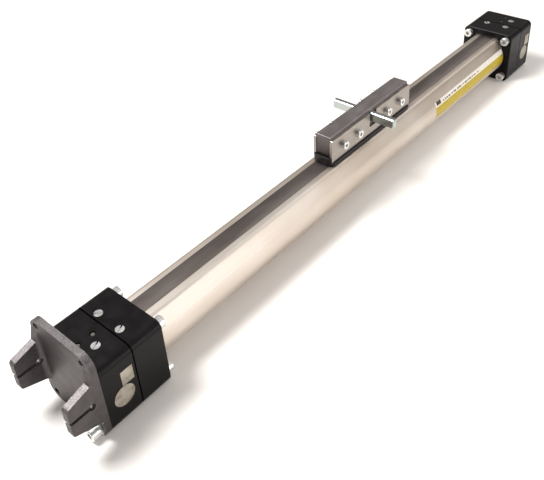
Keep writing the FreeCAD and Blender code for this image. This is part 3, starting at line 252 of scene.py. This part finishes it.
def roll_strip(name, wide, thick, start, path):
    """A strip drawn on from its end face at start (x, z).

    In the path (length, 0) runs straight on, and (radius, angle) turns up, or down if below zero.
    """
    turn_steps, run_step, edge = 8, 5 * mm, 0.12 * mm
    bpy.ops.mesh.primitive_plane_add(size=1, location=(start[0], 0, start[1]), rotation=(0, math.pi / 2, 0))
    strip = new_piece(name, scale=(thick, wide, 1))
    model_on(strip)
    heading = 0.0
    for reach, turn in path:
        tip = next(f.calc_center_median() for f in bmesh.from_edit_mesh(strip.data).faces if f.select)
        if turn:
            side = math.copysign(1, turn)
            centre = tip + side * reach * Vector((-math.sin(heading), 0, math.cos(heading)))
            bpy.ops.mesh.spin(steps=turn_steps, angle=abs(turn), center=centre, axis=(0, side, 0))
            heading += turn
        else:
            steps = max(1, round(reach / run_step))
            for _ in range(steps):
                bpy.ops.mesh.extrude_region_move(TRANSFORM_OT_translate={"value": (reach / steps, 0, 0)})
    bpy.ops.mesh.select_all(action="SELECT")
    bpy.ops.mesh.normals_make_consistent(inside=False)
    rolled_edge = strip.modifiers.new("rolled edge", "BEVEL")
    rolled_edge.width, rolled_edge.segments = edge, 2
    rolled_edge.limit_method, rolled_edge.angle_limit = "ANGLE", math.radians(60)
    return settle(strip)


def lift_over(run, rise):
    """The radius and angle of two equal turns that climb by rise along run."""
    return (run ** 2 + rise ** 2) / (4 * abs(rise)), 2 * math.atan(rise / run)


band_wide, band_thick, band_middle = 13.5 * mm, 0.4 * mm, 47.9 * mm
arch_foot, arch_top, arch_rise = 56 * mm, 24 * mm, 8.7 * mm
near_foot, far_foot = carriage_middle - arch_foot, carriage_middle + arch_foot
near_end, far_end = (c.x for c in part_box("cover_band"))
bend, lean = lift_over(arch_foot - arch_top, arch_rise)
near_band = roll_strip("cover_band_near_run", band_wide, band_thick, (near_end, band_middle),
                       [(near_foot - near_end, 0)])
arch_band = roll_strip("cover_band_arch", band_wide, band_thick, (near_foot, band_middle),
                       [(bend, lean), (bend, -lean), (2 * arch_top, 0), (bend, -lean), (bend, lean)])
far_band = roll_strip("cover_band_far_run", band_wide, band_thick, (far_foot, band_middle),
                      [(far_end - far_foot, 0)])
rolled, tree, place, bump, shader = new_finish("rolled_stainless_strip", 1.0, 0.42, 0.004)
mill_lines = cells(tree, place, (300, 0.5, 0.5))
stains = cells(tree, place, (60, 14, 14))
tint = two_tone(tree, (mill_lines, 0), "7D7572", "847D79")
dulled = two_tone(tree, (stains, 0), "EFECEA", "FFFFFF", 0.35, 0.6)
colour = add_node(tree, "Mix",
                  {"data_type": "RGBA", "blend_type": "MULTIPLY", 0: 1.0, 6: (tint, 2), 7: (dulled, 2)})
polish_unevenly(tree, shader, stains, 0.36, 0.5)
lay_on(tree, bump, shader, colour, mill_lines)
for strip in (near_band, arch_band, far_band):
    dress(strip, rolled)
    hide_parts("cover_band")
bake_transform(near_band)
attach(arch_band, "carriage")
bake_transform(far_band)

# Seal band: the narrower strip that closes the slot from inside the bore. The driver's web pushes
# it down in a dip, and it springs back against the bore on both sides. It has the same rolled finish
# as the cover band.
seal_wide, seal_thick = 9.0 * mm, 0.4 * mm
dip_foot, dip_bottom, dip_depth = 56 * mm, 26 * mm, 6.5 * mm
lowest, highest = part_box("seal_band")
seal_middle = highest.z - seal_thick / 2
near_dip, far_dip = carriage_middle - dip_foot, carriage_middle + dip_foot
bend, lean = lift_over(dip_foot - dip_bottom, -dip_depth)
near_seal = roll_strip("seal_band_near_run", seal_wide, seal_thick, (lowest.x, seal_middle),
                       [(near_dip - lowest.x, 0)])
dipped_seal = roll_strip("seal_band_dip", seal_wide, seal_thick, (near_dip, seal_middle),
                         [(bend, lean), (bend, -lean), (2 * dip_bottom, 0), (bend, -lean), (bend, lean)])
far_seal = roll_strip("seal_band_far_run", seal_wide, seal_thick, (far_dip, seal_middle),
                      [(highest.x - far_dip, 0)])
for strip in (near_seal, dipped_seal, far_seal):
    dress(strip, rolled)
    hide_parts("seal_band")
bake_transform(near_seal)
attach(dipped_seal, "carriage")
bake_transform(far_seal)

# End blocks: each end has two square blocks, milled from aluminium bar and black anodised. The inner
# one clamps the barrel and the bands, and the outer one closes the bore. Handling has rubbed their
# corners brownish grey, and dust dulls the flat faces. The seam between them is painted shade: near-black,
# with no sheen.


def rubbed_edges(tree, place, reach, spot):
    """Where a corner lies within reach millimetres, broken up in spots of the given millimetres."""
    nearly_flat, clearly_turned = 0.97, 0.8
    rounded = add_node(tree, "Bevel", {"samples": 6, "Radius": reach * mm})
    surface = add_node(tree, "NewGeometry", {})
    along = add_node(tree, "VectorMath",
                     {"operation": "DOT_PRODUCT", 0: (rounded, 0), 1: (surface, "Normal")})
    corner = add_node(tree, "MapRange", {"Value": (along, "Value"),
                                         "From Min": nearly_flat, "From Max": clearly_turned})
    spots = cells(tree, place, (spot, spot, spot), 4.0)
    worn = add_node(tree, "MapRange",
                    {"Value": (spots, 0), "From Min": 0.35, "From Max": 0.6, "To Min": 0.15})
    return add_node(tree, "Math", {"operation": "MULTIPLY", 0: (corner, 0), 1: (worn, 0)})


black, tree, place, bump, shader = new_finish("black_anodised_block", 0.0, 0.36, 0.01)
dust = cells(tree, place, (9, 9, 9), 5.0)
grit = cells(tree, place, (0.5, 0.5, 0.5), 2.0)
rubbed = rubbed_edges(tree, place, 0.5, 3)
face_colour = two_tone(tree, (dust, 0), "0C0A0C", "141113")
colour = add_node(tree, "Mix",
                  {"data_type": "RGBA", 0: (rubbed, 0), 6: (face_colour, 2), 7: from_hex("3C3634")})
polish_unevenly(tree, shader, dust, 0.32, 0.44)
along = add_node(tree, "SeparateXYZ", {"Vector": (place, "Object")})
near_seam, far_seam, seam_half, face_sheen = -259.5 * mm, 283.5 * mm, 0.5 * mm, 0.14
# Painted shade: a near-black strip with no sheen in the groove where the blocks meet.
seam_shade_strips = [add_node(tree, "Math", {"operation": "COMPARE", 0: (along, 0), 1: seam, 2: seam_half})
         for seam in (near_seam, far_seam)]
painted_seam_shade = add_node(tree, "Math", {"operation": "MAXIMUM", 0: (seam_shade_strips[0], 0), 1: (seam_shade_strips[1], 0)})
colour = add_node(tree, "Mix", {"data_type": "RGBA", 0: (painted_seam_shade, 0), 6: (colour, 2), 7: from_hex("020202")})
sheen = add_node(tree, "MapRange", {"Value": (painted_seam_shade, 0), "To Min": face_sheen, "To Max": 0.0})
tree.links.new(sheen.outputs[0], shader.inputs["Specular IOR Level"])
lay_on(tree, bump, shader, colour, grit)
for side in ("near", "far"):
    dress(parts[side + "_inner_block"], black)
    dress(parts[side + "_outer_block"], black)

# Badges: a bare foil disc and a bare foil tab, stuck on the front of each outer block. Brushed foil
# gives a soft grey-beige sheen, and the field is pressed in behind a narrow rim.
badge_thick, badge_rim, badge_press, badge_edge = 0.25 * mm, 0.9 * mm, 0.08 * mm, 0.1 * mm
disc_radius, disc_height = 7.8 * mm, 21.6 * mm
tab_wide, tab_high, tab_side, tab_height = 9.0 * mm, 11.6 * mm, 4.6 * mm, 35.6 * mm
block_front = -27.0 * mm
foil, tree, place, bump, shader = new_finish("brushed_foil", 0.75, 0.42, 0.02)
brushing = cells(tree, place, (0.25, 3, 14))
handled = cells(tree, place, (5, 5, 5))
tint = two_tone(tree, (brushing, 0), "A8A397", "BBB5A9")
worn = two_tone(tree, (handled, 0), "D6CEC6", "FFFFFF", 0.35, 0.6)
colour = add_node(tree, "Mix",
                  {"data_type": "RGBA", "blend_type": "MULTIPLY", 0: 1.0, 6: (tint, 2), 7: (worn, 2)})
polish_unevenly(tree, shader, handled, 0.34, 0.5)
lay_on(tree, bump, shader, colour, brushing)
for side, badge_x in (("near", -271.0 * mm), ("far", 296.0 * mm)):
    middle_y = block_front - badge_thick / 2
    bpy.ops.mesh.primitive_cylinder_add(vertices=64, radius=disc_radius, depth=badge_thick,
                                        location=(badge_x, middle_y, disc_height),
                                        rotation=(math.pi / 2, 0, 0))
    disc = new_piece(side + "_badge_disc")
    bpy.ops.mesh.primitive_cube_add(size=1, location=(badge_x + tab_side, middle_y, tab_height))
    tab = new_piece(side + "_badge_tab", scale=(tab_wide, badge_thick, tab_high))
    for badge in (disc, tab):
        model_on(badge)
        pick_faces(badge, lambda middle, normal: normal.y < -0.5)
        bpy.ops.mesh.inset(thickness=badge_rim)
        bpy.ops.transform.translate(value=(0, badge_press, 0))
        bpy.ops.object.mode_set(mode="OBJECT")
        corners = badge.modifiers.new("corners", "BEVEL")
        corners.width, corners.segments, corners.affect = badge_edge, 2, "EDGES"
        corners.limit_method, corners.angle_limit = "ANGLE", math.radians(40)
        settle(badge)
        dress(badge, foil)
        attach(badge, "cylinder")

# Screws: steel cap screws through the blocks' corners, slotted set screws on the band clamps, the
# cushion needles, and the clamps themselves, all zinc plated. The plating is bright and smooth, with
# a slight clouding.
plated, tree, place, bump, shader = new_finish("zinc_plated_screws", 0.85, 0.3, 0.002)
plating = cells(tree, place, (2.5, 2.5, 2.5), 4.0)
marks = cells(tree, place, (0.35, 0.35, 0.35), 2.0)
polish_unevenly(tree, shader, plating, 0.26, 0.34)
lay_on(tree, bump, shader, two_tone(tree, (plating, 0), "D6D7D6", "E8E8E6"), marks)
for side in ("near", "far"):
    for piece in ("corner_screws", "band_clamp", "clamp_screws", "cushion_needle"):
        dress(parts[side + "_" + piece], plated)

# Channel plugs and piston pins: hardened steel pins, pressed into the drilled air channels and
# through the pistons. They are ground bright, and mirror their surroundings a little blurred.
ground, tree, place, bump, shader = new_finish("ground_steel_pins", 1.0, 0.16, 0.01)
polish = cells(tree, place, (0.8, 0.8, 0.8))
polish_unevenly(tree, shader, polish, 0.12, 0.24)
lay_on(tree, bump, shader, two_tone(tree, (polish, 0), "B9B8B4", "D5D4CF"), polish)
for side in ("near", "far"):
    dress(parts[side + "_channel_plugs"], ground)
    dress(parts[side + "_piston_pin"], ground)

# Rings in the ends and on the pistons: moulded nitrile rubber, dull and nearly black, and a filled
# bearing plastic for the wear rings, a dull tan. They show only with the cylinder open.
nitrile, tree, place, bump, shader = new_finish("moulded_nitrile", 0.0, 0.5, 0.03)
skin = cells(tree, place, (1.5, 1.5, 1.5))
lay_on(tree, bump, shader, two_tone(tree, (skin, 0), "161617", "232324"), skin)
bearing, tree, place, bump, shader = new_finish("filled_bearing_plastic", 0.0, 0.55, 0.03)
filler = cells(tree, place, (0.7, 0.7, 0.7))
lay_on(tree, bump, shader, two_tone(tree, (filler, 0), "C3B8A2", "D5CBB7"), filler)
for side in ("near", "far"):
    dress(parts[side + "_spigot_ring"], nitrile)
    dress(parts[side + "_cushion_ring"], nitrile)
    dress(parts[side + "_piston_seal"], nitrile)
    dress(parts[side + "_wear_ring"], bearing)

# Foot bracket: a plate with two slit forks, sand cast in aluminium and only deburred.
# The cast skin is dull grey and grainy with rubbed corners, and what faces up has a painted highlight,
# broken into bright speckles.
cast, tree, place, bump, shader = new_finish("sand_cast_aluminium", 0.9, 0.5, 0.1)
sand = cells(tree, place, (0.55, 0.55, 0.55), 4.0)
blotches = cells(tree, place, (8, 8, 8), 4.0)
rubbed = rubbed_edges(tree, place, 0.4, 1.2)
face_colour = two_tone(tree, (blotches, 0), "524E4F", "605C5D")
surface = add_node(tree, "NewGeometry", {})
facing = add_node(tree, "SeparateXYZ", {"Vector": (surface, "Normal")})
# Painted highlight: faces that point up are painted lighter, in bright speckles.
painted_top_light = add_node(tree, "MapRange", {"Value": (facing, 2), "From Min": 0.3, "From Max": 0.8})
speckles = cells(tree, place, (0.9, 0.9, 0.9))
bright = add_node(tree, "MapRange", {"Value": (speckles, 0), "From Min": 0.4, "From Max": 0.66,
                                     "To Min": 0.15, "To Max": 0.8})
painted_top_highlight = add_node(tree, "Math", {"operation": "MULTIPLY", 0: (painted_top_light, 0), 1: (bright, 0)})
# From here rubbed holds both the rubbed corners and the painted highlight on the tops.
rubbed = add_node(tree, "Math", {"operation": "MAXIMUM", 0: (rubbed, 0), 1: (painted_top_highlight, 0)})
colour = add_node(tree, "Mix",
                  {"data_type": "RGBA", 0: (rubbed, 0), 6: (face_colour, 2), 7: from_hex("8A8586")})
polish_unevenly(tree, shader, sand, 0.42, 0.6)
lay_on(tree, bump, shader, colour, sand)
dress(parts["mounting_bracket"], cast)
for piece in ("bracket_screw", "bracket_washer", "bracket_spring_washer"):
    dress(parts[piece], plated)

# Driver, pistons and wiper frame: a machined aluminium bar with a web through the slot, turned
# pistons on its ends and a moulded frame round the carriage's foot, both of black acetal. Milling
# leaves fine bright lines, and acetal is black with a faint sheen.
machined, tree, place, bump, shader = new_finish("machined_aluminium", 1.0, 0.32, 0.02)
cutter = cells(tree, place, (0.3, 6, 6))
lay_on(tree, bump, shader, two_tone(tree, (cutter, 0), "B5B4B2", "CDCCC9"), cutter)
dress(parts["driver"], machined)
acetal, tree, place, bump, shader = new_finish("black_acetal", 0.0, 0.42, 0.02, Specular_IOR_Level=0.25)
moulding = cells(tree, place, (4, 4, 4), 4.0)
rubbed = rubbed_edges(tree, place, 0.4, 4)
face_colour = two_tone(tree, (moulding, 0), "0F0E10", "171517")
colour = add_node(tree, "Mix",
                  {"data_type": "RGBA", 0: (rubbed, 0), 6: (face_colour, 2), 7: from_hex("2E2B2B")})
polish_unevenly(tree, shader, moulding, 0.36, 0.5)
lay_on(tree, bump, shader, colour, moulding)
for piece in ("near_piston", "far_piston", "wiper_frame"):
    dress(parts[piece], acetal)

# Carriage yoke: a milled aluminium block over the arch of the band, hard anodised dark grey.
# Its corners are rubbed to a thin bright line, and both end faces are painted darker towards the bottom, a
# painted shade.
hard, tree, place, bump, shader = new_finish("hard_anodised_yoke", 0.75, 0.42, 0.01)
smears = cells(tree, place, (14, 6, 6), 5.0)
rubbed = rubbed_edges(tree, place, 0.5, 5)
face_colour = two_tone(tree, (smears, 0), "7E7777", "8B8484")
surface = add_node(tree, "NewGeometry", {})
facing = add_node(tree, "SeparateXYZ", {"Vector": (surface, "Normal")})
# Painted shade: the end faces are darkened, most at the bottom.
endways = add_node(tree, "Math", {"operation": "ABSOLUTE", 0: (facing, 0)})
standing = add_node(tree, "SeparateXYZ", {"Vector": (place, "Object")})
yoke_bottom, yoke_top = 54 * mm, 73 * mm
painted_end_shade = add_node(tree, "MapRange", {"Value": (standing, 2), "From Min": yoke_bottom, "From Max": yoke_top,
                                    "To Min": 0.95, "To Max": 0.5})
painted_end_shade = add_node(tree, "Math", {"operation": "MULTIPLY", 0: (endways, 0), 1: (painted_end_shade, 0)})
end_shaded_colour = add_node(tree, "Mix",
                {"data_type": "RGBA", 0: (painted_end_shade, 0), 6: (face_colour, 2), 7: from_hex("262223")})
colour = add_node(tree, "Mix", {"data_type": "RGBA", 0: (rubbed, 0), 6: (end_shaded_colour, 2), 7: from_hex("9A9794")})
polish_unevenly(tree, shader, smears, 0.32, 0.46)
lay_on(tree, bump, shader, colour, smears)
dress(parts["carriage_yoke"], hard)

# Side plates, through screws, nuts and cross bar: cut from cold-drawn steel and zinc plated. The
# plates are a warm grey, duller than the screws. The bar is paler, with a faint green cast and its
# drawing lines along it, across the cylinder.
flat_plated, tree, place, bump, shader = new_finish("zinc_plated_flat_steel", 1.0, 0.4, 0.006)
drawing = cells(tree, place, (60, 1.5, 1.5))
clouding = cells(tree, place, (10, 7, 7), 4.0)
rubbed = rubbed_edges(tree, place, 0.4, 2)
tint = two_tone(tree, (drawing, 0), "A09A95", "A9A39D")
worn = two_tone(tree, (clouding, 0), "EDEBE8", "FFFFFF", 0.35, 0.6)
blend = add_node(tree, "Mix",
                 {"data_type": "RGBA", "blend_type": "MULTIPLY", 0: 1.0, 6: (tint, 2), 7: (worn, 2)})
colour = add_node(tree, "Mix", {"data_type": "RGBA", 0: (rubbed, 0), 6: (blend, 2), 7: from_hex("DADAD5")})
polish_unevenly(tree, shader, clouding, 0.28, 0.42)
lay_on(tree, bump, shader, colour, drawing)
for piece in ("front_side_plate", "back_side_plate"):
    dress(parts[piece], flat_plated)
for piece in ("side_screws", "side_nuts"):
    dress(parts[piece], plated)
bar_plated, tree, place, bump, shader = new_finish("zinc_plated_bar", 1.0, 0.32, 0.006)
drawing = cells(tree, place, (1.5, 60, 1.5))
polish_unevenly(tree, shader, drawing, 0.28, 0.36)
lay_on(tree, bump, shader, two_tone(tree, (drawing, 0), "ABB3B0", "BBC2C0"), drawing)
dress(parts["cross_bar"], bar_plated)

# Studio: the cylinder lies on a pale floor under a soft lamp up to its left. A broad fill lamp
# lights the barrel's shoulder, and a low window on the right draws the long highlight on its flank.
# The floor glows faintly to the camera and in mirror reflections.
floor_middle, floor_wide, floor_lift = 0.3, 8, 0.08
bpy.ops.mesh.primitive_plane_add(size=1, location=(floor_middle, 0, 0))
floor = new_piece("studio_floor", scale=(floor_wide, floor_wide, 1))
paper, tree, place, bump, shader = new_finish("white_paper_floor", 0.0, 0.85, 0.05)
mottle = cells(tree, place, (180, 180, 180), 2.0)
paper_colour = two_tone(tree, (mottle, 0), "EFEBE7", "F3F0EC")
tree.links.new(paper_colour.outputs[2], shader.inputs["Base Color"])
rays = add_node(tree, "LightPath", {})
seen = add_node(tree, "Math",
                {"operation": "MAXIMUM", 0: (rays, "Is Camera Ray"), 1: (rays, "Is Glossy Ray")})
lift = add_node(tree, "Math", {"operation": "MULTIPLY", 0: (seen, 0), 1: floor_lift})
shader.inputs["Emission Color"].default_value = from_hex("FFF8F4")
tree.links.new(lift.outputs[0], shader.inputs["Emission Strength"])
dress(floor, paper)

world = bpy.data.worlds.new("pale_room")
bpy.context.scene.world = world
world.use_nodes = True
tree = world.node_tree
tree.nodes.clear()
room = add_node(tree, "Background", {"Color": from_hex("F8F2EB"), "Strength": 0.29})
white = add_node(tree, "Background", {"Color": (1, 1, 1, 1), "Strength": 1.0})
rays = add_node(tree, "LightPath", {})
both = add_node(tree, "MixShader", {0: (rays, "Is Camera Ray"), 1: (room, 0), 2: (white, 0)})
add_node(tree, "OutputWorld", {"Surface": (both, 0)})

for name, spot, aim, wide, high, power in (
        ("overhead_lamp", (-0.55, 0.6, 1.4), (0.05, 0.0, 0.0), 0.6, 0.6, 32.0),
        ("fill_lamp", (0.9, -0.32, 1.15), (0.05, 0.0, 0.03), 1.6, 0.9, 6.5),
        ("window", (0.17, -0.95, 0.28), (-0.27, 0.0, 0.03), 0.42, 0.45, 3.2)):
    lamp = bpy.data.lights.new(name, "AREA")
    lamp.shape, lamp.size, lamp.size_y = "RECTANGLE", wide, high
    lamp.energy, lamp.color = power, from_hex("FFFEFD")[:3]
    holder = bpy.data.objects.new(name, lamp)
    bpy.context.scene.collection.objects.link(holder)
    holder.location = spot
    holder.rotation_euler = (Vector(aim) - Vector(spot)).to_track_quat("-Z", "Y").to_euler()

camera = bpy.data.objects.new("camera", bpy.data.cameras.new("camera"))
bpy.context.scene.collection.objects.link(camera)
bpy.context.scene.camera = camera
camera.location = (-0.41411, -0.2908, 0.38558)
camera.rotation_euler = [math.radians(a) for a in (57.548, 2.939, -49.636)]
camera.data.lens, camera.data.sensor_width = 47.205, 36
camera.data.shift_y = -0.202
camera.data.clip_start, camera.data.clip_end = 0.01, 20
bpy.context.scene.view_settings.view_transform = "Standard"
